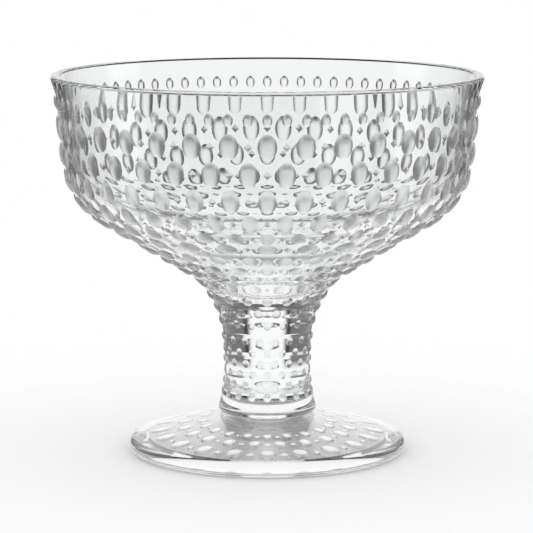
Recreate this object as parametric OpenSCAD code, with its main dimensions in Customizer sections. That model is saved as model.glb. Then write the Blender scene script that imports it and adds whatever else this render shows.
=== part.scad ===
// Footed bowl in clear pressed glass: a deep bowl on a solid waisted stem and a low round foot.
// The three glass pieces are pressed on their own and joined hot, end to end. Rings of raised
// upright drops cover the outside of the bowl and the stem, and the underside of the foot.
// Lengths are in millimetres. The axis of the bowl is Z, and the foot stands on Z = 0.

/* [Bowl] */
// Outer diameter of the bowl at the lip
bowl_d = 140; // [120:1:170]
// Height of the bowl, from its joint with the stem to the lip
bowl_h = 83.5; // [76:0.5:110]
// Thickness of the upright wall
wall_t = 3.2; // [2:0.1:4.5]
// Thickness of the sloping belly under the wall
belly_t = 4; // [3:0.1:5.5]
// Slope of the wall, in degrees from level
wall_slope = 82.8; // [78:0.1:87]
// Slope of the belly, in degrees from level
belly_slope = 31.5; // [27:0.5:36]
// Outside radius of the shoulder that turns the belly into the wall
shoulder_r = 24; // [16:0.5:28]
// Radius of the hollow curve that opens from the stem into the belly
flare_r = 28; // [20:0.5:34]
// Radius of the round floor inside the bowl
floor_r = 28; // [20:0.5:36]
// Radius that rounds each edge of the lip
lip_r = 1.3; // [0.8:0.1:1.8]
// Width of the flat that is left on top of the lip
lip_flat = 0.4; // [0.2:0.1:1.2]
// Height of the smooth lip above the wall
lip_h = 5.5; // [4:0.1:9]
// Distance that the lip leans out over the top of the wall
lip_out = 1.4; // [0.5:0.1:3]

/* [Stem] */
// Height of the stem, from the foot to the bowl
stem_h = 27.2; // [22:0.1:60]
// Diameter of the stem at its waist
waist_d = 27.6; // [22:0.1:36]
// Distance from the waist up to the joint with the bowl
waist_drop = 13; // [8:0.1:17]
// Distance that the stem grows outward from the waist to the joint
joint_out = 0.8; // [0.3:0.1:2]
// Distance that the collar on the foot stands out past the waist
collar_out = 2.2; // [1:0.1:4]
// Radius that rounds the collar under
collar_r = 2; // [1.2:0.1:3]

/* [Foot] */
// Diameter of the foot
foot_d = 90.5; // [74:0.5:120]
// Height of the foot, from the table to the stem
foot_h = 12.8; // [10:0.1:20]
// Radius of the thick round edge
edge_r = 2.5; // [1.6:0.1:3.2]
// Width of the flat ring that the foot rests on
rest_w = 4.8; // [3:0.1:8]
// Height of the shallow hollow under the foot
hollow_h = 3.8; // [2.8:0.1:6]
// Height of the step that leads up into the hollow from the ring
step_h = 1.6; // [0.8:0.1:2.4]
// Width of the flat seat that shows around the collar
seat_w = 1; // [0.4:0.1:2]

/* [Drops] */
// Drops in each ring round the wall and the shoulder
wall_drops = 36; // [24:1:40]
// Rings of drops on the wall and the shoulder
wall_rings = 5; // [3:1:5]
// Distance from the top of the wall to the first ring
wall_start = 11.5; // [8:0.5:14]
// Height to which the drops on the wall stand out
wall_relief = 1.1; // [0.5:0.1:1.3]
// Drops in each ring round the belly
belly_drops = 24; // [18:1:26]
// Rings of drops on the belly
belly_rings = 4; // [2:1:4]
// Distance from the end of the shoulder to the first ring on the belly
belly_start = 7.3; // [7:0.1:9]
// Height to which the drops on the belly stand out
belly_relief = 1; // [0.5:0.1:1.3]
// Drops in each ring round the flare and the stem
stem_drops = 18; // [12:1:20]
// Rings of drops on the flare
flare_rings = 4; // [2:1:4]
// Distance from the top of the flare to the first ring on it
flare_start = 8.5; // [8:0.1:9.5]
// Rings of drops on the stem
stem_rings = 6; // [3:1:6]
// Distance from the joint with the bowl to the first ring on the stem
stem_start = 2.2; // [2:0.1:4]
// Height to which the drops on the flare and the stem stand out
stem_relief = 0.7; // [0.4:0.1:1]
// Drops in each ring under the foot
foot_drops = 20; // [16:1:24]
// Rings of drops under the foot
foot_rings = 3; // [2:1:3]
// Distance from the edge of the hollow to the first ring under the foot
foot_start = 4.2; // [4:0.1:7]
// Height to which the drops under the foot stand out
foot_relief = 0.9; // [0.4:0.1:1.1]

/* [Hidden] */
$fn = 128;
glass = [0.86, 0.9, 0.91, 0.55];
// Distance that a cut runs past the surface that it opens
overrun = 1;
// Reach of a slice's corner, as a share of the corner where its tangents meet
apex_share = 1.2;
// Width and height of a drop, and step from ring to ring, as shares of the pitch round the ring
drop_w_share = 0.52;
drop_h_share = 0.7;
ring_share = 0.74;
// Depth of a drop's root in the glass
root = 0.7;
// Degrees in a turn whose arc is as long as its radius
arc_unit = 180 / PI;

stem_z = foot_h;
bowl_z = foot_h + stem_h;

// A point that lies at a distance and an angle from another
function polar(from, reach, angle) = from + reach * [cos(angle), sin(angle)];

// The point where a line through a meets a line through b, each with its slope in degrees
function meet(a, slope_a, b, slope_b) =
    let (reach = ((b.x - a.x) * sin(slope_b) - (b.y - a.y) * cos(slope_b)) / sin(slope_b - slope_a))
    polar(a, reach, slope_a);

// Radius of the arc that leaves an upright tangent and goes out by one distance over another
function arc_radius(along, out) = (along ^ 2 + out ^ 2) / (2 * out);

// The slice of a circle between two points on it
module slice(centre, radius, start, end) {
    middle = (start + end) / 2 - centre;
    apex = centre + middle * apex_share * radius ^ 2 / (middle * middle);
    intersection() {
        translate(centre) circle(r = radius);
        polygon([centre, start, apex, end]);
    }
}

// The stem's outside, over the foot: the waist, the centre of the round collar and the arcs between
waist_r = waist_d / 2;
waist = [waist_r, stem_h - waist_drop];
collar = [waist_r + collar_out - collar_r, collar_r];
inset = waist - collar;
base_arc_r = (inset * inset - collar_r ^ 2) / (2 * (collar_r - inset.x));
joint_r = waist_r + joint_out;
neck_arc_r = arc_radius(waist_drop, joint_out);
joint_slope = 90 - asin(waist_drop / neck_arc_r);

// The bowl's outside, over its joint: the flare, the straight belly, the round shoulder and the wall
joint = [joint_r, 0];
flare_centre = polar(joint, flare_r, joint_slope - 90);
flare_end = polar(flare_centre, flare_r, belly_slope + 90);
wall_top = [bowl_d / 2 - lip_out, bowl_h - lip_h];
corner = meet(flare_end, belly_slope, wall_top, wall_slope);
half_turn = (wall_slope - belly_slope) / 2;
shoulder_reach = shoulder_r * tan(half_turn);
shoulder_start = polar(corner, -shoulder_reach, belly_slope);
shoulder_end = polar(corner, shoulder_reach, wall_slope);
shoulder_centre = polar(shoulder_start, shoulder_r, belly_slope + 90);

// The centre of the foot's round edge, and the hollow inside the ring that the foot rests on
edge = [foot_d / 2 - edge_r, edge_r];
hollow_r = edge.x - rest_w;
hollow_arc_r = arc_radius(hollow_r, hollow_h - step_h);

// A spot on a section's outside is a point and the heading there, with the open air on the left.
// The spot that lies further on along a run of one bend, which is zero where the run is straight.
function onward(spot, run, bend) =
    let (turn = run * bend * arc_unit)
    [polar(spot[0], bend == 0 ? run : 2 * sin(turn / 2) / bend, spot[1] + turn / 2), spot[1] + turn];

// The spot at a distance from the start of an outside, which is a list of runs, each with its bend
function spot_at(start, runs, distance, index = 0) =
    let (run = runs[index])
    index == len(runs) - 1 || distance <= run[0] ? onward(start, distance, run[1]) :
    spot_at(onward(start, run[0], run[1]), runs, distance - run[0], index + 1);

// The spots of a number of rings, each at a share of the pitch from the one before
function ring_spots(start, runs, distance, drops, rings) =
    rings == 0 ? [] :
    let (spot = spot_at(start, runs, distance), pitch = 2 * PI * spot[0].x / drops)
    concat([spot], ring_spots(start, runs, distance + ring_share * pitch, drops, rings - 1));

// The outline of a drop: two round flanks that meet in a point at its top and at its bottom
module drop_outline(half_h, half_w) {
    flank_r = arc_radius(half_h, half_w);
    flank_y = flank_r - half_w;
    intersection() {
        translate([0, flank_y]) circle(r = flank_r);
        translate([0, -flank_y]) circle(r = flank_r);
    }
}

// Rings of upright drops, each ring turned half a pitch against the one before
module drop_rings(spots, drops, relief) {
    for (ring = [0 : len(spots) - 1]) {
        spot = spots[ring];
        pitch = 2 * PI * spot[0].x / drops;
        for (drop = [0 : drops - 1])
            rotate([0, 0, (drop + ring % 2 / 2) * 360 / drops])
                translate([spot[0].x, 0, spot[0].y])
                    rotate([0, -spot[1], 0])
                        translate([0, 0, -root])
                            linear_extrude(root + relief)
                                drop_outline(pitch * drop_h_share / 2, pitch * drop_w_share / 2);
    }
}

// The bowl's section. The outside runs from the joint through the flare, the straight belly,
// the round shoulder and the wall to the lip. The inside keeps one thickness below that
// and another in the wall.
module bowl_section() {
    lip = [bowl_d / 2 - lip_r, bowl_h - lip_r];
    lip_in = lip - [lip_flat, 0];
    round_in = [lip_r, 0];
    wall_in = wall_top - [wall_t / sin(wall_slope), 0];
    belly_in = polar(flare_end, belly_t, belly_slope + 90);
    corner_in = meet(belly_in, belly_slope, wall_in, wall_slope);
    turn_r = shoulder_r - belly_t;
    turn_reach = turn_r * tan(half_turn);
    turn_start = polar(corner_in, -turn_reach, belly_slope);
    turn_end = polar(corner_in, turn_reach, wall_slope);
    turn_centre = polar(turn_start, turn_r, belly_slope + 90);
    floor_end = meet(belly_in, belly_slope, [floor_r * sin(belly_slope), 0], 90);
    floor_centre = polar(floor_end, floor_r, belly_slope + 90);
    floor_start = [-floor_end.x, floor_end.y];

    difference() {
        union() {
            polygon([[0, 0], joint, flare_end, shoulder_start, shoulder_end, wall_top,
                     lip + round_in, [0, lip.y]]);
            slice(shoulder_centre, shoulder_r, shoulder_start, shoulder_end);
            translate(lip) circle(r = lip_r);
            translate(lip_in) square([lip_flat, lip_r]);
            translate(lip_in) circle(r = lip_r);
        }
        slice(flare_centre, flare_r, joint, flare_end);
        polygon([[0, floor_end.y], floor_end, turn_start, turn_end, wall_in,
                 lip_in - round_in, [0, bowl_h + overrun]]);
        slice(turn_centre, turn_r, turn_start, turn_end);
        slice(floor_centre, floor_r, floor_start, floor_end);
    }
}

// The rings of drops down the outside of the bowl
module bowl_relief_rings() {
    wall_run = norm(wall_top - shoulder_end);
    shoulder_run = shoulder_r * (wall_slope - belly_slope) / arc_unit;
    belly_run = norm(shoulder_start - flare_end);
    flare_run = flare_r * (joint_slope - belly_slope) / arc_unit;
    start = [wall_top, wall_slope + 180];
    runs = [[wall_run, 0], [shoulder_run, -1 / shoulder_r], [belly_run, 0], [flare_run, 1 / flare_r]];
    belly_from = wall_run + shoulder_run + belly_start;
    flare_from = wall_run + shoulder_run + belly_run + flare_start;

    drop_rings(ring_spots(start, runs, wall_start, wall_drops, wall_rings),
               wall_drops, wall_relief);
    drop_rings(ring_spots(start, runs, belly_from, belly_drops, belly_rings),
               belly_drops, belly_relief);
    drop_rings(ring_spots(start, runs, flare_from, stem_drops, flare_rings),
               stem_drops, stem_relief);
}

// The deep bowl, with a smooth inside and a thin rounded lip
module bowl() {
    color(glass) translate([0, 0, bowl_z]) {
        rotate_extrude() bowl_section();
        bowl_relief_rings();
    }
}

// The stem's section: a waist between two hollow arcs, and a collar that rounds under to the foot
module stem_section() {
    neck_centre = waist + [neck_arc_r, 0];
    base_centre = waist + [base_arc_r, 0];
    collar_top = collar + (base_centre - collar) * collar_r / (base_arc_r + collar_r);

    difference() {
        polygon([[0, waist.y], waist, [joint_r, stem_h], [0, stem_h]]);
        translate(neck_centre) circle(r = neck_arc_r);
    }
    difference() {
        polygon([[0, 0], [collar.x, 0], collar, collar_top, waist, [0, waist.y]]);
        translate(base_centre) circle(r = base_arc_r);
    }
    translate(collar) circle(r = collar_r);
}

// The rings of drops down the outside of the stem
module stem_relief_rings() {
    neck_run = neck_arc_r * asin(waist_drop / neck_arc_r) / arc_unit;
    start = [[joint_r, stem_h], joint_slope + 180];
    runs = [[neck_run, 1 / neck_arc_r], [waist.y, 1 / base_arc_r]];
    drop_rings(ring_spots(start, runs, stem_start, stem_drops, stem_rings),
               stem_drops, stem_relief);
}

// The solid stem
module stem() {
    color(glass) translate([0, 0, stem_z]) {
        rotate_extrude() stem_section();
        stem_relief_rings();
    }
}

// The foot's section: a flat seat for the collar, a straight slope down to the thick round edge,
// and a shallow hollow that starts with a step inside the ring that the foot rests on
module foot_section() {
    slope_top = [collar.x + seat_w, foot_h];
    span = slope_top - edge;
    slope_end = polar(edge, edge_r, atan2(span.y, span.x) - acos(edge_r / norm(span)));

    difference() {
        union() {
            polygon([[0, 0], [edge.x, 0], edge, slope_end, slope_top, [0, foot_h]]);
            translate(edge) circle(r = edge_r);
        }
        translate([0, -overrun]) square([hollow_r, step_h + overrun]);
        slice([0, hollow_h - hollow_arc_r], hollow_arc_r, [-hollow_r, step_h], [hollow_r, step_h]);
    }
}

// The rings of drops on the roof of the hollow, which point down
module foot_relief_rings() {
    start = [[hollow_r, step_h], 180 - asin(hollow_r / hollow_arc_r)];
    runs = [[hollow_r, 1 / hollow_arc_r]];
    drop_rings(ring_spots(start, runs, foot_start, foot_drops, foot_rings),
               foot_drops, foot_relief);
}

// The low round foot
module foot() {
    color(glass) {
        rotate_extrude() foot_section();
        foot_relief_rings();
    }
}

foot();
stem();
bowl();
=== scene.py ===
"""Footed bowl in clear pressed glass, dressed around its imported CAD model.

The bowl, the stem and the foot are modelled again as closed glass solids, with the raised
drops that the moulds press into them, and each stands in the place of its CAD node.
Lengths are in metres, angles in radians, and the bowl's axis is Z.
"""

import logging
import math
from bisect import bisect_left
from collections.abc import Iterator
from dataclasses import dataclass, field
from enum import Enum

import bmesh
import bpy
import numpy as np
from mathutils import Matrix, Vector


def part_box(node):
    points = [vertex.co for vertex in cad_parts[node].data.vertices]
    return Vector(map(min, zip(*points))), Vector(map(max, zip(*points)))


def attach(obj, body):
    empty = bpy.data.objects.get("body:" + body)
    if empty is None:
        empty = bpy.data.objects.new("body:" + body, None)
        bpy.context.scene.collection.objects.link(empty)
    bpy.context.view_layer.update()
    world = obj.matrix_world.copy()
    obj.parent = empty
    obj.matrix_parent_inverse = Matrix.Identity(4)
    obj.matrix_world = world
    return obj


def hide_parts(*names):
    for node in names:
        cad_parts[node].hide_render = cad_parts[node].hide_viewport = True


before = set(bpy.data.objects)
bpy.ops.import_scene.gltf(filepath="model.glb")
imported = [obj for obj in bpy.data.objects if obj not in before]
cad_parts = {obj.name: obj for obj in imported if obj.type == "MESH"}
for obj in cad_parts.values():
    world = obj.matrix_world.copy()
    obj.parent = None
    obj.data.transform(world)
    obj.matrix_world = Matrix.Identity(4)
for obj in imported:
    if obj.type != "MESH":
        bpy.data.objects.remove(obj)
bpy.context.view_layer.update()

LOG = logging.getLogger("footed_bowl")

# Flat steps in a full turn of a turned piece, and the angle of one step of a section's arc
SPIN_STEPS = 240
ARC_STEP = math.radians(6)
# Vertices that lie closer than this are one
MERGE_DISTANCE = 1e-6
# Angle between two faces over which their edge is drawn sharp
CREASE_ANGLE = math.radians(27)
# Gap that keeps the two faces of a fused joint from lying in one plane
JOINT_GAP = 0.000005
# Depth of a drop's root under its foot, inside the glass
ROOT = 0.0007
# Depth to which a drop's foot is sunk, so that the turned facets never lie below it
SINK = 0.00002
# Part of its sphere that a drop's crown takes up, as a share of the sphere's radius
CROWN_SHARE = 0.85
# How strongly the crown's rings crowd towards its steep edge
RING_CROWDING = 1.65
# Angle over which a studio panel fades, on each side of its edge
PANEL_SOFTNESS = math.radians(3)
# What a direction is multiplied by to keep its level part
LEVEL_PART = (1, 1, 0)
# Plain white as a colour, and the strength at which a light shows it
WHITE = "#FFFFFF"
WHITE_LIGHT = 1.0
# A shader's setting at its whole strength
FULL = 1.0
# Times that a ray may pass through glass, and times that it may be reflected
GLASS_BOUNCES = 32
GLOSS_BOUNCES = 12


def polar(start: Vector, reach: float, angle: float) -> Vector:
    """Gives the point at a distance and an angle from another, in a section's plane."""
    return start + reach * Vector((math.cos(angle), math.sin(angle)))


def meet(start: Vector, slope: float, other: Vector, other_slope: float) -> Vector:
    """Finds where two lines of a section cross.

    Args:
        start: a point on the first line.
        slope: the first line's angle from level.
        other: a point on the second line.
        other_slope: the second line's angle from level.

    Returns:
        The point that both lines share.
    """
    gap = other - start
    across = gap.x * math.sin(other_slope) - gap.y * math.cos(other_slope)
    return polar(start, across / math.sin(other_slope - slope), slope)


def arc_radius(along: float, out: float) -> float:
    """Gives the radius of the arc that leaves a tangent and goes out by one distance over another."""
    return (along**2 + out**2) / (2 * out)


class Outline:
    """A line of a section, as points of radius and height, with the open air on its left."""

    def __init__(self, radius: float, height: float) -> None:
        """Starts the line at a point."""
        self.points = [Vector((radius, height))]

    def line(self, *ends: Vector) -> "Outline":
        """Goes straight to each point in turn."""
        self.points.extend(end.copy() for end in ends)
        return self

    def arc(self, centre: Vector, end: Vector) -> "Outline":
        """Goes round a centre to an end, the short way.

        Args:
            centre: the arc's centre.
            end: the last point of the arc.

        Returns:
            The outline itself.
        """
        start = self.points[-1] - centre
        finish = end - centre
        turn = math.atan2(start.x * finish.y - start.y * finish.x, start.dot(finish))
        first = math.atan2(start.y, start.x)
        steps = max(1, math.ceil(abs(turn) / ARC_STEP))
        for step in range(1, steps + 1):
            self.points.append(polar(centre, start.length, first + turn * step / steps))
        return self

    def lengths(self) -> list[float]:
        """Measures the way along the line.

        Returns:
            The distance walked from its start to each of its points.
        """
        walked = [0.0]
        for here, there in zip(self.points, self.points[1:]):
            walked.append(walked[-1] + (there - here).length)
        return walked


class Surface:
    """The round surface that an outline sweeps, on which the relief is laid."""

    def __init__(self, outline: Outline) -> None:
        """Measures the outline and works out which way it faces at each point.

        Args:
            outline: the line that sweeps the surface.
        """
        self.points = outline.points
        self.walked = outline.lengths()
        steps = [there - here for here, there in zip(self.points, self.points[1:])]
        ways = [step.normalized() for step in steps]
        tangents = [ways[0]] + [a + b for a, b in zip(ways, ways[1:])] + [ways[-1]]
        self.normals = [Vector((-way.y, way.x)).normalized() for way in tangents]

    def at(self, distance: float) -> tuple[Vector, Vector]:
        """Finds a point of the outline and the way that it faces.

        Args:
            distance: the length walked along the outline.

        Returns:
            The point, as radius and height, and its outward normal.
        """
        index = min(max(bisect_left(self.walked, distance), 1), len(self.points) - 1)
        low, high = self.walked[index - 1], self.walked[index]
        share = (distance - low) / (high - low)
        point = self.points[index - 1].lerp(self.points[index], share)
        normal = self.normals[index - 1].lerp(self.normals[index], min(max(share, 0), 1))
        return point, normal.normalized()

    def place(self, distance: float, angle: float, local: Vector) -> Vector:
        """Bends a point of a flat shape onto the surface.

        Args:
            distance: the length walked along the outline to the shape's centre.
            angle: the angle round the axis to the shape's centre.
            local: the point: across the shape, along the outline, and out from the surface.

        Returns:
            The point's place round the axis.
        """
        point, normal = self.at(distance + local.y)
        turned = angle - local.x / point.x
        out = point + normal * local.z
        return Vector((out.x * math.cos(turned), out.x * math.sin(turned), out.y))


class Side(Enum):
    """The faces of a glass piece, by the number of their material slot.

    They are the turned faces, those of a fused joint, those of the raised relief, and the satin
    ground of the hollow under the foot.
    """

    TURNED = 0
    JOINT = 1
    RELIEF = 2
    GROUND = 3


class Motif(Enum):
    """The raised shapes of the relief: each value is the number of sides and of crown rings."""

    DROP = (16, 3)
    POINT = (4, 1)

    def mesh(self) -> bpy.types.Mesh:
        """Models the shape one unit in radius and in height, with a root one unit deep.

        Returns:
            A closed mesh whose foot lies at height zero.
        """
        sides, rings = self.value
        shape = bmesh.new()
        bmesh.ops.create_circle(shape, cap_ends=True, segments=sides, radius=1)
        raised = bmesh.ops.extrude_face_region(shape, geom=shape.faces[:])["geom"]
        top = [item for item in raised if isinstance(item, bmesh.types.BMVert)]
        cap = next(item for item in raised if isinstance(item, bmesh.types.BMFace))
        bmesh.ops.translate(shape, vec=(0, 0, 1), verts=top)
        self.crown(shape, cap, sides, rings)
        bmesh.ops.translate(shape, vec=(0, 0, -1), verts=shape.verts)
        bmesh.ops.recalc_face_normals(shape, faces=shape.faces)
        mesh = bpy.data.meshes.new(f"{self.name.lower()}_shape")
        shape.to_mesh(mesh)
        shape.free()
        return mesh

    @staticmethod
    def crown(shape: bmesh.types.BMesh, cap: bmesh.types.BMFace, sides: int, rings: int) -> None:
        """Rounds the top face of a shape up into part of a sphere, one unit high.

        Args:
            shape: the mesh that holds the shape.
            cap: its flat top, one unit in radius.
            sides: the number of the cap's sides.
            rings: the number of rings of faces in the crown.
        """
        reaches = [1 - (ring / rings) ** RING_CROWDING for ring in range(rings + 1)]
        edge = math.sqrt(1 - CROWN_SHARE**2)
        rises = [(math.sqrt(1 - (CROWN_SHARE * reach) ** 2) - edge) / (1 - edge) for reach in reaches]
        for ring in range(rings - 1):
            # A reach goes to a corner, but an inset is measured square to the sides
            inset = (reaches[ring] - reaches[ring + 1]) * math.cos(math.pi / sides)
            rise = rises[ring + 1] - rises[ring]
            bmesh.ops.inset_region(shape, faces=[cap], thickness=inset, depth=rise)
        bmesh.ops.poke(shape, faces=[cap], offset=rises[-1] - rises[-2])


@dataclass(frozen=True)
class Lattice:
    """Rings of upright drops, each ring turned half a pitch against the one before it.

    The shares are of the pitch round the ring, but for the last, which is of the relief. A small
    point fills the gap between two drops, unless the point's share is zero.
    """

    columns: int
    start: float
    rings: int
    relief: float
    width_share: float = 0.52
    height_share: float = 0.7
    ring_share: float = 0.74
    point_share: float = 0.24
    point_relief_share: float = 0.7

    def spots(self, surface: Surface) -> Iterator[tuple[float, float, float]]:
        """Walks round the rings of the lattice.

        Args:
            surface: the surface that carries the relief.

        Yields:
            The distance along the outline, the angle round the axis and the pitch of each drop.
        """
        distance = self.start
        step = 2 * math.pi / self.columns
        for ring in range(self.rings):
            pitch = step * surface.at(distance)[0].x
            for column in range(self.columns):
                yield distance, (column + ring % 2 / 2) * step, pitch
            distance += self.ring_share * pitch

    def lay(self, relief: bmesh.types.BMesh, surface: Surface) -> None:
        """Lays the drops, and the small points between them, on a surface.

        Args:
            relief: the mesh that gathers the shapes.
            surface: the surface that carries them.
        """
        drop = Motif.DROP.mesh()
        point = Motif.POINT.mesh()
        for distance, angle, pitch in self.spots(surface):
            size = Vector((self.width_share * pitch / 2, self.height_share * pitch / 2, self.relief))
            stamp(relief, drop, size, surface, distance, angle)
            if self.point_share > 0:
                half = self.point_share * pitch / 2
                point_size = Vector((half, half, self.relief * self.point_relief_share))
                stamp(relief, point, point_size, surface, distance, angle + math.pi / self.columns)
        bpy.data.meshes.remove(drop)
        bpy.data.meshes.remove(point)


def stamp(relief: bmesh.types.BMesh, shape: bpy.types.Mesh, size: Vector, surface: Surface,
          distance: float, angle: float) -> None:
    """Adds one raised shape to the relief, bent onto its surface.

    Args:
        relief: the mesh that gathers the shapes.
        shape: the shape's unit mesh.
        size: half the shape's width, half its length along the outline, and its height.
        surface: the surface that carries it.
        distance: the length walked along the outline to its centre.
        angle: the angle round the axis to its centre.
    """
    relief.from_mesh(shape)
    relief.verts.ensure_lookup_table()
    for vert in relief.verts[-len(shape.vertices):]:
        rise = size.z if vert.co.z > 0 else ROOT
        local = Vector((vert.co.x * size.x, vert.co.y * size.y, vert.co.z * rise - SINK))
        vert.co = surface.place(distance, angle, local)


def srgb(code: str) -> tuple[float, float, float, float]:
    """Turns an sRGB hex colour into the linear colour that the shaders take.

    Args:
        code: the colour, as a hash mark and six hex digits.

    Returns:
        Its linear red, green and blue, by the curve of the sRGB standard, and an alpha of one.
    """
    channels = [int(code[place:place + 2], 16) / 255 for place in (1, 3, 5)]
    linear = [c / 12.92 if c <= 0.04045 else ((c + 0.055) / 1.055) ** 2.4 for c in channels]
    return (*linear, 1.0)


def add_node(tree: bpy.types.NodeTree, kind: str, settings: dict | None = None,
             links: dict | None = None) -> bpy.types.Node:
    """Adds a node to a tree with its settings and links.

    Args:
        tree: the tree that gets the node.
        kind: the node's type.
        settings: values by the name of a property, or by the name or number of an input.
        links: output sockets by the name or number of the input that each feeds.

    Returns:
        The new node.
    """
    node = tree.nodes.new(kind)
    for name, value in (settings or {}).items():
        if isinstance(name, str) and hasattr(node, name):
            setattr(node, name, value)
        else:
            node.inputs[name].default_value = value
    for name, source in (links or {}).items():
        tree.links.new(source, node.inputs[name])
    return node


def new_material(name: str) -> tuple[bpy.types.Material, bpy.types.NodeTree]:
    """Makes an empty node material.

    Args:
        name: the common name of the real material.

    Returns:
        The material and its node tree.
    """
    material = bpy.data.materials.new(name)
    material.use_nodes = True
    material.node_tree.nodes.clear()
    return material, material.node_tree


def seen_in_glass(tree: bpy.types.NodeTree) -> bpy.types.NodeSocket:
    """Adds the nodes that part what glass shows from what lights the paper.

    Args:
        tree: the node tree of a thing that the glass shows.

    Returns:
        A socket that is one for a ray that the glass has bent or reflected, and zero for one
        that has also touched the paper, so that the paper keeps its even light.
    """
    ray = add_node(tree, "ShaderNodeLightPath").outputs
    bent = add_node(tree, "ShaderNodeMath", {"operation": "MAXIMUM"},
                    {0: ray["Is Glossy Ray"], 1: ray["Is Transmission Ray"]})
    spread = add_node(tree, "ShaderNodeMath", {"operation": "GREATER_THAN", 1: 0.0},
                      {0: ray["Diffuse Depth"]})
    seen = add_node(tree, "ShaderNodeMath", {"operation": "SUBTRACT", "use_clamp": True},
                    {0: bent.outputs[0], 1: spread.outputs[0]})
    return seen.outputs[0]


@dataclass(frozen=True)
class PressedGlass:
    """Clear soda-lime glass, pressed in an iron mould and fire-polished.

    The flame leaves it glossy all over, with slow shallow waves where the mould chilled it.
    """

    name: str = "clear pressed soda-lime glass"
    colour: str = "#FDFEFE"
    ior: float = 1.52
    roughness: float = 0.0
    wave_span: float = 0.014
    wave_height: float = 0.000006
    wave_detail: float = 1.0

    def material(self) -> bpy.types.Material:
        """Builds the glass, with its waves as bump.

        Returns:
            The material.
        """
        material, tree = new_material(self.name)
        place = add_node(tree, "ShaderNodeTexCoord")
        waves = add_node(tree, "ShaderNodeTexNoise",
                         {"Scale": 1 / self.wave_span, "Detail": self.wave_detail},
                         {"Vector": place.outputs["Object"]})
        bump = add_node(tree, "ShaderNodeBump", {"Strength": FULL, "Distance": self.wave_height},
                        {"Height": waves.outputs["Fac"]})
        glass = add_node(tree, "ShaderNodeBsdfPrincipled",
                         {"Base Color": srgb(self.colour), "IOR": self.ior, "Roughness": self.roughness,
                          "Transmission Weight": FULL},
                         {"Normal": bump.outputs["Normal"]})
        add_node(tree, "ShaderNodeOutputMaterial", None, {"Surface": glass.outputs["BSDF"]})
        return material


@dataclass(frozen=True)
class MouldedGlass(PressedGlass):
    """The same glass where no flame reached it: the iron mould leaves a fine satin on it.

    Under the foot it spreads the light of the table between the polished drops.
    """

    name: str = "satin pressed soda-lime glass"
    roughness: float = 0.3


@dataclass(frozen=True)
class FusedJoint:
    """The joint where two pieces of hot glass have run together: light goes straight through it."""

    colour: str = WHITE
    ior: float = 1.0
    roughness: float = 0.0

    def material(self) -> bpy.types.Material:
        """Builds the joint as glass that bends and reflects nothing.

        Returns:
            The material.
        """
        material, tree = new_material("fused glass joint")
        glass = add_node(tree, "ShaderNodeBsdfPrincipled",
                         {"Base Color": srgb(self.colour), "IOR": self.ior, "Roughness": self.roughness,
                          "Transmission Weight": FULL})
        add_node(tree, "ShaderNodeOutputMaterial", None, {"Surface": glass.outputs["BSDF"]})
        return material


@dataclass(frozen=True)
class MattePaper:
    """Matte white photo-studio paper, which spreads light evenly and shows no grain.

    It fades between two distances from the bowl's axis, so that no line shows round it.
    """

    colour: str = "#F8F8F8"
    fade_from: float = 0.12
    fade_to: float = 0.21

    def material(self) -> bpy.types.Material:
        """Builds the paper as a diffuse sheet, plain white where glass shows it, that fades out.

        Returns:
            The material.
        """
        material, tree = new_material("matte studio paper")
        paper = add_node(tree, "ShaderNodeBsdfDiffuse", {"Color": srgb(self.colour)})
        clear = add_node(tree, "ShaderNodeBsdfTransparent")
        place = add_node(tree, "ShaderNodeTexCoord").outputs["Object"]
        reach = add_node(tree, "ShaderNodeVectorMath", {"operation": "LENGTH"}, {0: place})
        fade = add_node(tree, "ShaderNodeMapRange",
                        {"interpolation_type": "SMOOTHSTEP", "From Min": self.fade_from,
                         "From Max": self.fade_to},
                        {"Value": reach.outputs["Value"]})
        white = add_node(tree, "ShaderNodeEmission", {"Color": srgb(WHITE), "Strength": WHITE_LIGHT})
        shown = add_node(tree, "ShaderNodeMixShader", None,
                         {0: seen_in_glass(tree), 1: paper.outputs[0], 2: white.outputs[0]})
        sheet = add_node(tree, "ShaderNodeMixShader", None,
                         {0: fade.outputs[0], 1: shown.outputs[0], 2: clear.outputs[0]})
        add_node(tree, "ShaderNodeOutputMaterial", None, {"Surface": sheet.outputs[0]})
        return material


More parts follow.
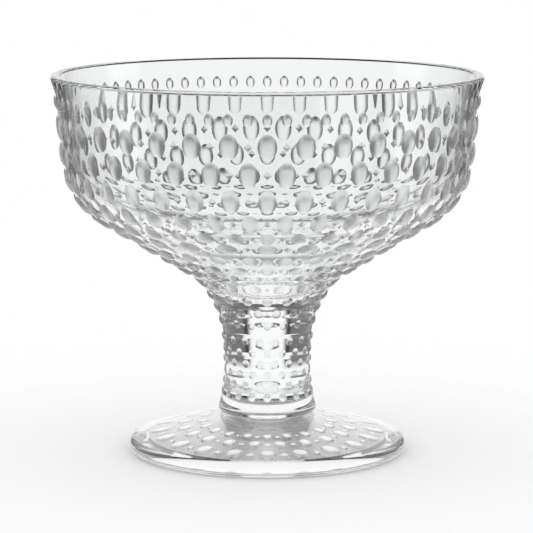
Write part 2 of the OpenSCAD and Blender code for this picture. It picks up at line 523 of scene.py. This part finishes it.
@dataclass(kw_only=True)
class GlassPiece:
    """A turned piece of glass with relief, which stands for one node of the CAD model."""

    node: str
    low: float = field(init=False)
    high: float = field(init=False)
    radius: float = field(init=False)

    def __post_init__(self) -> None:
        """Takes the piece's place from its CAD node, less the gap of a joint under it."""
        low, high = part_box(self.node)
        self.low = low.z + (JOINT_GAP if low.z > JOINT_GAP else 0)
        self.high = high.z
        self.radius = high.x

    def section(self) -> Outline:
        """Gives the closed section, from the axis and back to it."""
        raise NotImplementedError

    def reliefs(self) -> list[tuple[Surface, list[Lattice]]]:
        """Gives each surface that carries relief, with what lies on it."""
        raise NotImplementedError

    def joints(self) -> list[tuple[float, float]]:
        """Gives the height and the radius of each fused joint."""
        raise NotImplementedError

    def ground(self, face: bmesh.types.BMFace) -> bool:
        """Tells whether a turned face keeps the satin of the mould."""
        return False

    def turned(self) -> bpy.types.Object:
        """Spins the section into a closed solid, and marks its satin ground and its joints.

        Returns:
            The piece without its relief, with each face in the material slot of its side.
        """
        mesh = bpy.data.meshes.new(f"glass_{self.node}")
        body = bmesh.new()
        verts = [body.verts.new((point.x, 0, point.y)) for point in self.section().points]
        edges = [body.edges.new(pair) for pair in zip(verts, verts[1:])]
        bmesh.ops.spin(body, geom=verts + edges, axis=(0, 0, 1), cent=(0, 0, 0), dvec=(0, 0, 0),
                       angle=2 * math.pi, steps=SPIN_STEPS, use_merge=True)
        bmesh.ops.remove_doubles(body, verts=body.verts, dist=MERGE_DISTANCE)
        bmesh.ops.recalc_face_normals(body, faces=body.faces)
        for face in body.faces:
            if self.ground(face):
                face.material_index = Side.GROUND.value
            for height, radius in self.joints():
                flat = all(abs(vert.co.z - height) < MERGE_DISTANCE for vert in face.verts)
                if flat and face.calc_center_median().xy.length < radius:
                    face.material_index = Side.JOINT.value
        body.to_mesh(mesh)
        body.free()
        return bpy.data.objects.new(mesh.name, mesh)

    def relief(self) -> bpy.types.Object:
        """Gathers the raised shapes of the piece in one object.

        Returns:
            The object, which isn't in the scene yet.
        """
        mesh = bpy.data.meshes.new(f"relief_{self.node}")
        shapes = bmesh.new()
        for surface, lattices in self.reliefs():
            for lattice in lattices:
                lattice.lay(shapes, surface)
        shapes.to_mesh(mesh)
        shapes.free()
        return bpy.data.objects.new(mesh.name, mesh)

    def make(self, finishes: dict[Side, bpy.types.Material]) -> None:
        """Builds the piece: the turned glass and its relief, joined in one closed solid.

        It rides on the body and stands for its CAD node.

        Args:
            finishes: the material of each side.
        """
        piece = self.turned()
        relief = self.relief()
        for item in (piece, relief):
            bpy.context.scene.collection.objects.link(item)
            for side in Side:
                item.data.materials.append(finishes[side])
        relief.data.polygons.foreach_set("material_index", [Side.RELIEF.value] * len(relief.data.polygons))
        union = piece.modifiers.new("relief", "BOOLEAN")
        union.operation = "UNION"
        union.solver = "MANIFOLD"
        union.object = relief
        apply_modifiers(piece)
        bpy.data.objects.remove(relief)
        piece.data.shade_smooth()
        piece.data.set_sharp_from_angle(angle=CREASE_ANGLE)
        round_normals(piece.data, self.section())
        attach(piece, "root")
        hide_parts(self.node)
        LOG.info("%s: %d faces", piece.name, len(piece.data.polygons))


def round_normals(mesh: bpy.types.Mesh, section: Outline) -> None:
    """Gives the turned faces the normals of the true round surface, which their facets lack.

    Args:
        mesh: the finished mesh of a glass piece.
        section: the section that was spun to make it.
    """
    # The way each part of the section faces, shared with the next where they join smoothly
    points = np.array([tuple(point) for point in section.points])
    steps = np.diff(points, axis=0)
    lengths = np.linalg.norm(steps, axis=1)
    ways = steps / lengths[:, None]
    outward = np.stack((-ways[:, 1], ways[:, 0]), axis=1)
    starts, ends = outward.copy(), outward.copy()
    shared = outward[:-1] + outward[1:]
    smooth = (outward[:-1] * outward[1:]).sum(axis=1) > math.cos(CREASE_ANGLE)
    starts[1:][smooth] = shared[smooth]
    ends[:-1][smooth] = shared[smooth]

    # The part of the section that lies nearest to the middle of each face
    count = len(mesh.polygons)
    centres, totals, slots = np.empty(count * 3), np.empty(count, int), np.empty(count, int)
    mesh.polygons.foreach_get("center", centres)
    mesh.polygons.foreach_get("loop_total", totals)
    mesh.polygons.foreach_get("material_index", slots)
    centres = centres.reshape(-1, 3)
    flat = np.stack((np.hypot(centres[:, 0], centres[:, 1]), centres[:, 2]), axis=1)
    along = ((flat[:, None] - points[None, :-1]) * ways).sum(axis=2).clip(0, lengths)
    feet = points[:-1] + along[:, :, None] * ways
    nearest = np.linalg.norm(flat[:, None] - feet, axis=2).argmin(axis=1)

    # The normal at each corner of the turned faces, from its place along that part
    corners, places = np.empty(len(mesh.loops), int), np.empty(len(mesh.vertices) * 3)
    normals = np.empty(len(mesh.loops) * 3)
    mesh.loops.foreach_get("vertex_index", corners)
    mesh.vertices.foreach_get("co", places)
    mesh.corner_normals.foreach_get("vector", normals)
    normals = normals.reshape(-1, 3)
    turned = np.repeat(slots, totals) != Side.RELIEF.value
    segment = np.repeat(nearest, totals)[turned]
    corner = places.reshape(-1, 3)[corners[turned]]
    radius = np.hypot(corner[:, 0], corner[:, 1])
    flat = np.stack((radius, corner[:, 2]), axis=1)
    share = ((flat - points[segment]) * ways[segment]).sum(axis=1) / lengths[segment]
    normal = starts[segment] + (ends - starts)[segment] * share.clip(0, 1)[:, None]
    normal /= np.linalg.norm(normal, axis=1)[:, None]
    around = corner[:, :2] / np.maximum(radius, MERGE_DISTANCE)[:, None]
    normals[turned] = np.column_stack((around * normal[:, :1], normal[:, 1]))
    mesh.normals_split_custom_set(normals.tolist())


def apply_modifiers(piece: bpy.types.Object) -> None:
    """Replaces a piece's mesh by what its modifiers make of it.

    Args:
        piece: the object whose modifiers are live.
    """
    bpy.context.view_layer.update()
    evaluated = piece.evaluated_get(bpy.context.evaluated_depsgraph_get())
    piece.data = bpy.data.meshes.new_from_object(evaluated)
    piece.modifiers.clear()


@dataclass(kw_only=True)
class Stem(GlassPiece):
    """The solid waisted stem, with the collar that rounds under to the foot."""

    node: str = "stem"
    waist_radius: float = 0.0138
    waist_drop: float = 0.013
    joint_out: float = 0.0008
    collar_out: float = 0.0022
    collar_radius: float = 0.002
    drops: Lattice = Lattice(columns=18, start=0.0022, rings=6, relief=0.0005, height_share=0.56,
                             point_share=0.0)

    @property
    def joint_radius(self) -> float:
        """The radius of the joint with the bowl."""
        return self.waist_radius + self.joint_out

    @property
    def seat_radius(self) -> float:
        """The radius of the joint with the foot."""
        return self.waist_radius + self.collar_out - self.collar_radius

    @property
    def neck_radius(self) -> float:
        """The radius of the hollow arc from the waist to the bowl."""
        return arc_radius(self.waist_drop, self.joint_out)

    @property
    def joint_slope(self) -> float:
        """The slope of the outside where the bowl takes over."""
        return math.pi / 2 - math.asin(self.waist_drop / self.neck_radius)

    def outside(self) -> Outline:
        """Draws the outside, from the joint with the bowl down to the foot.

        Returns:
            The line of the outside.
        """
        waist = Vector((self.waist_radius, self.high - self.waist_drop))
        collar = Vector((self.seat_radius, self.low + self.collar_radius))
        inset = waist - collar
        # The hollow arc below the waist touches the collar's round edge
        base_radius = (inset.length_squared - self.collar_radius**2) / (2 * (self.collar_radius - inset.x))
        base_centre = waist + Vector((base_radius, 0))
        collar_top = collar + (base_centre - collar).normalized() * self.collar_radius
        outside = Outline(self.joint_radius, self.high)
        outside.arc(waist + Vector((self.neck_radius, 0)), waist)
        outside.arc(base_centre, collar_top)
        return outside.arc(collar, Vector((self.seat_radius, self.low)))

    def section(self) -> Outline:
        """Draws the closed section, from the axis and back to it.

        Returns:
            The line of the section.
        """
        section = Outline(0, self.high)
        section.line(*self.outside().points)
        return section.line(Vector((0, self.low)))

    def reliefs(self) -> list[tuple[Surface, list[Lattice]]]:
        """Gives the rings of drops round the stem."""
        return [(Surface(self.outside()), [self.drops])]

    def joints(self) -> list[tuple[float, float]]:
        """Gives the joints with the bowl and the foot."""
        return [(self.high, self.joint_radius), (self.low, self.seat_radius)]


@dataclass(kw_only=True)
class Bowl(GlassPiece):
    """The deep bowl, with its lip, wall, shoulder, belly and flare."""

    stem: Stem
    node: str = "bowl"
    wall: float = 0.0032
    belly: float = 0.004
    wall_slope: float = math.radians(82.8)
    belly_slope: float = math.radians(31.5)
    shoulder_radius: float = 0.024
    flare_radius: float = 0.028
    floor_radius: float = 0.028
    lip_radius: float = 0.0013
    lip_flat: float = 0.0004
    lip_height: float = 0.0055
    lip_out: float = 0.0014
    lip_drops: Lattice = Lattice(columns=72, start=0.0032, rings=1, relief=0.0006, point_share=0.0)
    wall_drops: Lattice = Lattice(columns=36, start=0.0115, rings=5, relief=0.0011)
    belly_drops: Lattice = Lattice(columns=24, start=0.0528, rings=4, relief=0.001, height_share=0.56)
    flare_drops: Lattice = Lattice(columns=18, start=0.0834, rings=4, relief=0.0007, height_share=0.56)

    @property
    def wall_top(self) -> Vector:
        """The outer edge where the wall ends and the smooth lip starts."""
        return Vector((self.radius - self.lip_out, self.high - self.lip_height))

    @property
    def joint(self) -> Vector:
        """The outer edge of the joint with the stem."""
        return Vector((self.stem.joint_radius, self.low))

    @property
    def belly_square(self) -> float:
        """The angle that stands square on the belly, towards the inside."""
        return self.belly_slope + math.pi / 2

    @property
    def flare_centre(self) -> Vector:
        """The centre of the hollow curve that opens from the stem into the belly."""
        return polar(self.joint, self.flare_radius, self.stem.joint_slope - math.pi / 2)

    @property
    def flare_end(self) -> Vector:
        """The point where that curve turns into the straight belly."""
        return polar(self.flare_centre, self.flare_radius, self.belly_square)

    def shoulder(self, low: Vector, high: Vector, radius: float) -> tuple[Vector, Vector, Vector]:
        """Rounds the corner where the belly's slope meets the wall's.

        Args:
            low: a point on the belly's line.
            high: a point on the wall's line.
            radius: the radius of the round corner.

        Returns:
            The arc's lower end, its centre and its upper end.
        """
        corner = meet(low, self.belly_slope, high, self.wall_slope)
        reach = radius * math.tan((self.wall_slope - self.belly_slope) / 2)
        start = polar(corner, -reach, self.belly_slope)
        return start, polar(start, radius, self.belly_square), polar(corner, reach, self.wall_slope)

    def outside(self) -> Outline:
        """Draws the outside, from the top of the wall down to the joint with the stem.

        Returns:
            The line of the outside.
        """
        start, centre, end = self.shoulder(self.flare_end, self.wall_top, self.shoulder_radius)
        outside = Outline(*self.wall_top)
        outside.line(end)
        outside.arc(centre, start)
        outside.line(self.flare_end)
        return outside.arc(self.flare_centre, self.joint)

    def inside(self) -> Outline:
        """Draws the inside, from the axis over the round floor and up to the top of the wall.

        Returns:
            The line of the inside.
        """
        wall_in = self.wall_top - Vector((self.wall / math.sin(self.wall_slope), 0))
        belly_in = polar(self.flare_end, self.belly, self.belly_square)
        floor_edge = Vector((self.floor_radius * math.sin(self.belly_slope), 0))
        floor_end = meet(belly_in, self.belly_slope, floor_edge, math.pi / 2)
        floor_centre = polar(floor_end, self.floor_radius, self.belly_square)
        start, centre, end = self.shoulder(belly_in, wall_in, self.shoulder_radius - self.belly)
        inside = Outline(0, floor_centre.y - self.floor_radius)
        inside.arc(floor_centre, floor_end)
        inside.line(start)
        inside.arc(centre, end)
        return inside.line(wall_in)

    def section(self) -> Outline:
        """Draws the closed section, up the inside, over the lip and down the outside.

        Returns:
            The line of the section, from the axis and back to it.
        """
        lip = Vector((self.radius - self.lip_radius, self.high - self.lip_radius))
        lip_in = lip - Vector((self.lip_flat, 0))
        out = Vector((self.lip_radius, 0))
        up = Vector((0, self.lip_radius))
        section = self.inside()
        section.line(lip_in - out)
        section.arc(lip_in, lip_in + up)
        section.line(lip + up)
        section.arc(lip, lip + out)
        section.line(*self.outside().points)
        return section.line(Vector((0, self.low)))

    def reliefs(self) -> list[tuple[Surface, list[Lattice]]]:
        """Gives the rings of drops down the outside."""
        lattices = [self.lip_drops, self.wall_drops, self.belly_drops, self.flare_drops]
        return [(Surface(self.outside()), lattices)]

    def joints(self) -> list[tuple[float, float]]:
        """Gives the joint with the stem."""
        return [(self.low, self.stem.joint_radius)]


@dataclass(kw_only=True)
class Foot(GlassPiece):
    """The low round foot, with a thick round edge and a shallow hollow beneath."""

    stem: Stem
    node: str = "foot"
    edge_radius: float = 0.0025
    rest_width: float = 0.0048
    hollow_height: float = 0.0038
    step_height: float = 0.0016
    seat_width: float = 0.001
    drops: Lattice = Lattice(columns=20, start=0.0042, rings=3, relief=0.0009, point_share=0.32)

    @property
    def hollow_radius(self) -> float:
        """The radius of the hollow under the foot."""
        return self.radius - self.edge_radius - self.rest_width

    def hollow(self) -> Outline:
        """Draws the roof of the hollow, from its edge in to the axis.

        Returns:
            The line of the roof.
        """
        rise = self.hollow_height - self.step_height
        arc = arc_radius(self.hollow_radius, rise)
        top = Vector((0, self.low + self.hollow_height))
        return Outline(self.hollow_radius, self.low + self.step_height).arc(top - Vector((0, arc)), top)

    def section(self) -> Outline:
        """Draws the closed section, over the top, round the edge and in under the foot.

        Returns:
            The line of the section, from the axis and back to it.
        """
        edge = Vector((self.radius - self.edge_radius, self.low + self.edge_radius))
        joint = Vector((self.stem.seat_radius, self.high))
        slope_top = joint + Vector((self.seat_width, 0))
        span = slope_top - edge
        turn = math.atan2(span.y, span.x) - math.acos(self.edge_radius / span.length)
        section = Outline(0, self.high)
        section.line(joint, slope_top, polar(edge, self.edge_radius, turn))
        section.arc(edge, edge - Vector((0, self.edge_radius)))
        section.line(Vector((self.hollow_radius, self.low)))
        return section.line(*self.hollow().points)

    def reliefs(self) -> list[tuple[Surface, list[Lattice]]]:
        """Gives the rings of drops on the roof of the hollow."""
        return [(Surface(self.hollow()), [self.drops])]

    def joints(self) -> list[tuple[float, float]]:
        """Gives the joint with the stem."""
        return [(self.high, self.stem.seat_radius)]

    def ground(self, face: bmesh.types.BMFace) -> bool:
        """Tells whether a face is part of the hollow's roof, which keeps the satin of the mould.

        Args:
            face: a face of the turned foot.

        Returns:
            True for a face of the roof.
        """
        top = self.low + self.hollow_height + MERGE_DISTANCE
        bottom = self.low + self.step_height - MERGE_DISTANCE
        reach = self.hollow_radius + MERGE_DISTANCE
        return all(bottom < vert.co.z < top and vert.co.xy.length < reach for vert in face.verts)


@dataclass(frozen=True)
class Panel:
    """One lit panel of the studio, as the directions from the bowl in which it stands.

    The azimuth is that of its middle, the top and the bottom are elevations, and the default
    bottom is nearly straight down.
    """

    azimuth: float
    half_width: float
    top: float
    bottom: float = math.radians(-86)
    light: float = WHITE_LIGHT

    def shade(self, tree: bpy.types.NodeTree, way: bpy.types.NodeSocket,
              height: bpy.types.NodeSocket) -> bpy.types.NodeSocket:
        """Adds the nodes that give the panel's light in a direction.

        Args:
            tree: the world's node tree.
            way: the level part of the direction, one unit long.
            height: the sine of the direction's elevation.

        Returns:
            The socket that holds the light.
        """
        facing = (math.cos(self.azimuth), math.sin(self.azimuth), 0)
        near = add_node(tree, "ShaderNodeVectorMath", {"operation": "DOT_PRODUCT", 1: facing}, {0: way})
        edge = add_node(tree, "ShaderNodeMapRange",
                        {"interpolation_type": "SMOOTHSTEP",
                         "From Min": math.cos(self.half_width + PANEL_SOFTNESS),
                         "From Max": math.cos(self.half_width - PANEL_SOFTNESS), "To Max": self.light},
                        {"Value": near.outputs["Value"]})
        below = add_node(tree, "ShaderNodeMapRange",
                         {"interpolation_type": "SMOOTHSTEP",
                          "From Min": math.sin(self.top + PANEL_SOFTNESS),
                          "From Max": math.sin(self.top - PANEL_SOFTNESS)},
                         {"Value": height})
        above = add_node(tree, "ShaderNodeMapRange",
                         {"interpolation_type": "SMOOTHSTEP",
                          "From Min": math.sin(self.bottom - PANEL_SOFTNESS),
                          "From Max": math.sin(self.bottom + PANEL_SOFTNESS)},
                         {"Value": height})
        shade = edge.outputs[0]
        for part in (below, above):
            shade = add_node(tree, "ShaderNodeMath", {"operation": "MULTIPLY"},
                             {0: shade, 1: part.outputs[0]}).outputs[0]
        return shade


@dataclass(frozen=True)
class Studio:
    """A pale floor in soft even light, with the camera where the photograph was taken.

    The paper is lit evenly and the camera sees plain white. Glass sees the white paper too,
    and past it what stands round a table in a glass studio: white and dim panels, low white
    cards, dark gaps and little light from above. The gaps draw its edges dark.
    """

    floor_radius: float = 0.26
    floor_segments: int = 96
    floor_drop: float = 0.0002
    light: float = 1.08
    panels: tuple[Panel, ...] = (
        # White, straight behind the bowl
        Panel(azimuth=math.radians(90), half_width=math.radians(16), top=math.radians(60),
              bottom=math.radians(-18)),
        # White, at its left, at its right, and in front of it on the right
        Panel(azimuth=math.radians(180), half_width=math.radians(12), top=math.radians(14)),
        Panel(azimuth=math.radians(0), half_width=math.radians(12), top=math.radians(14)),
        Panel(azimuth=math.radians(315), half_width=math.radians(15), top=math.radians(4)),
        # Dim, at both sides of the one behind
        Panel(azimuth=math.radians(140), half_width=math.radians(28), top=math.radians(60), light=0.14),
        Panel(azimuth=math.radians(40), half_width=math.radians(28), top=math.radians(60), light=0.14),
        # White cards that lie low there, and keep the inside clear when it is seen from above
        Panel(azimuth=math.radians(135), half_width=math.radians(34), top=math.radians(-20), light=0.8),
        Panel(azimuth=math.radians(45), half_width=math.radians(34), top=math.radians(-20), light=0.8),
    )
    gap_light: float = 0.02
    sky_light: float = 0.08
    sky_from: float = math.radians(30)
    camera_place: tuple[float, float, float] = (-0.00026, -0.910, 0.1981)
    camera_pitch: float = math.radians(8.6)
    lens: float = 190.87
    sensor: float = 36.0

    def floor(self) -> None:
        """Lays the floor sheet just under the foot."""
        mesh = bpy.data.meshes.new("floor")
        sheet = bmesh.new()
        bmesh.ops.create_circle(sheet, cap_ends=True, segments=self.floor_segments, radius=self.floor_radius)
        bmesh.ops.translate(sheet, vec=(0, 0, -self.floor_drop), verts=sheet.verts)
        sheet.to_mesh(mesh)
        sheet.free()
        floor = bpy.data.objects.new("floor", mesh)
        bpy.context.scene.collection.objects.link(floor)
        mesh.materials.append(MattePaper().material())

    def room(self, tree: bpy.types.NodeTree) -> bpy.types.NodeSocket:
        """Adds the nodes for what glass sees of the room.

        Args:
            tree: the world's node tree.

        Returns:
            The socket that holds the light in a direction.
        """
        way = add_node(tree, "ShaderNodeTexCoord").outputs["Generated"]
        height = add_node(tree, "ShaderNodeSeparateXYZ", None, {"Vector": way}).outputs["Z"]
        level = add_node(tree, "ShaderNodeVectorMath", {"operation": "MULTIPLY", 1: LEVEL_PART}, {0: way})
        level = add_node(tree, "ShaderNodeVectorMath", {"operation": "NORMALIZE"}, {0: level.outputs[0]})
        sky = add_node(tree, "ShaderNodeMapRange",
                       {"interpolation_type": "SMOOTHSTEP",
                        "From Min": math.sin(self.sky_from - PANEL_SOFTNESS),
                        "From Max": math.sin(self.sky_from + PANEL_SOFTNESS),
                        "To Min": self.gap_light, "To Max": self.sky_light},
                       {"Value": height})
        room = sky.outputs[0]
        for panel in self.panels:
            lit = panel.shade(tree, level.outputs[0], height)
            room = add_node(tree, "ShaderNodeMath", {"operation": "MAXIMUM"}, {0: room, 1: lit}).outputs[0]
        return room

    def world(self) -> None:
        """Lights the room evenly, and shows the panels only to reflected and bent light."""
        world = bpy.data.worlds.new("studio")
        world.use_nodes = True
        tree = world.node_tree
        tree.nodes.clear()
        camera = add_node(tree, "ShaderNodeLightPath").outputs["Is Camera Ray"]
        plain = add_node(tree, "ShaderNodeMapRange", {"To Min": self.light, "To Max": WHITE_LIGHT},
                         {"Value": camera})
        strength = add_node(tree, "ShaderNodeMix", {"data_type": "FLOAT"},
                            {0: seen_in_glass(tree), 2: plain.outputs[0], 3: self.room(tree)})
        light = add_node(tree, "ShaderNodeBackground", {"Color": srgb(WHITE)},
                         {"Strength": strength.outputs[0]})
        add_node(tree, "ShaderNodeOutputWorld", None, {"Surface": light.outputs[0]})
        bpy.context.scene.world = world

    def camera(self) -> None:
        """Sets up the camera as it was fitted to the photograph."""
        lens = bpy.data.cameras.new("camera")
        lens.lens = self.lens
        lens.sensor_width = self.sensor
        camera = bpy.data.objects.new("camera", lens)
        camera.location = self.camera_place
        camera.rotation_euler = (math.pi / 2 - self.camera_pitch, 0, 0)
        bpy.context.scene.collection.objects.link(camera)
        bpy.context.scene.camera = camera

    def make(self) -> None:
        """Sets up the floor, the light, the camera and how the picture is taken."""
        self.floor()
        self.world()
        self.camera()
        scene = bpy.context.scene
        scene.view_settings.view_transform = "Standard"
        scene.cycles.max_bounces = GLASS_BOUNCES
        scene.cycles.transmission_bounces = GLASS_BOUNCES
        scene.cycles.glossy_bounces = GLOSS_BOUNCES


def main() -> None:
    """Builds the studio and the three pieces of glass."""
    logging.basicConfig(level=logging.INFO, format="%(name)s %(message)s")
    Studio().make()
    glass = PressedGlass().material()
    finishes = {Side.TURNED: glass, Side.JOINT: FusedJoint().material(), Side.RELIEF: glass,
                Side.GROUND: MouldedGlass().material()}
    stem = Stem()
    for piece in (stem, Bowl(stem=stem), Foot(stem=stem)):
        piece.make(finishes)


if __name__ == "__main__":
    main()
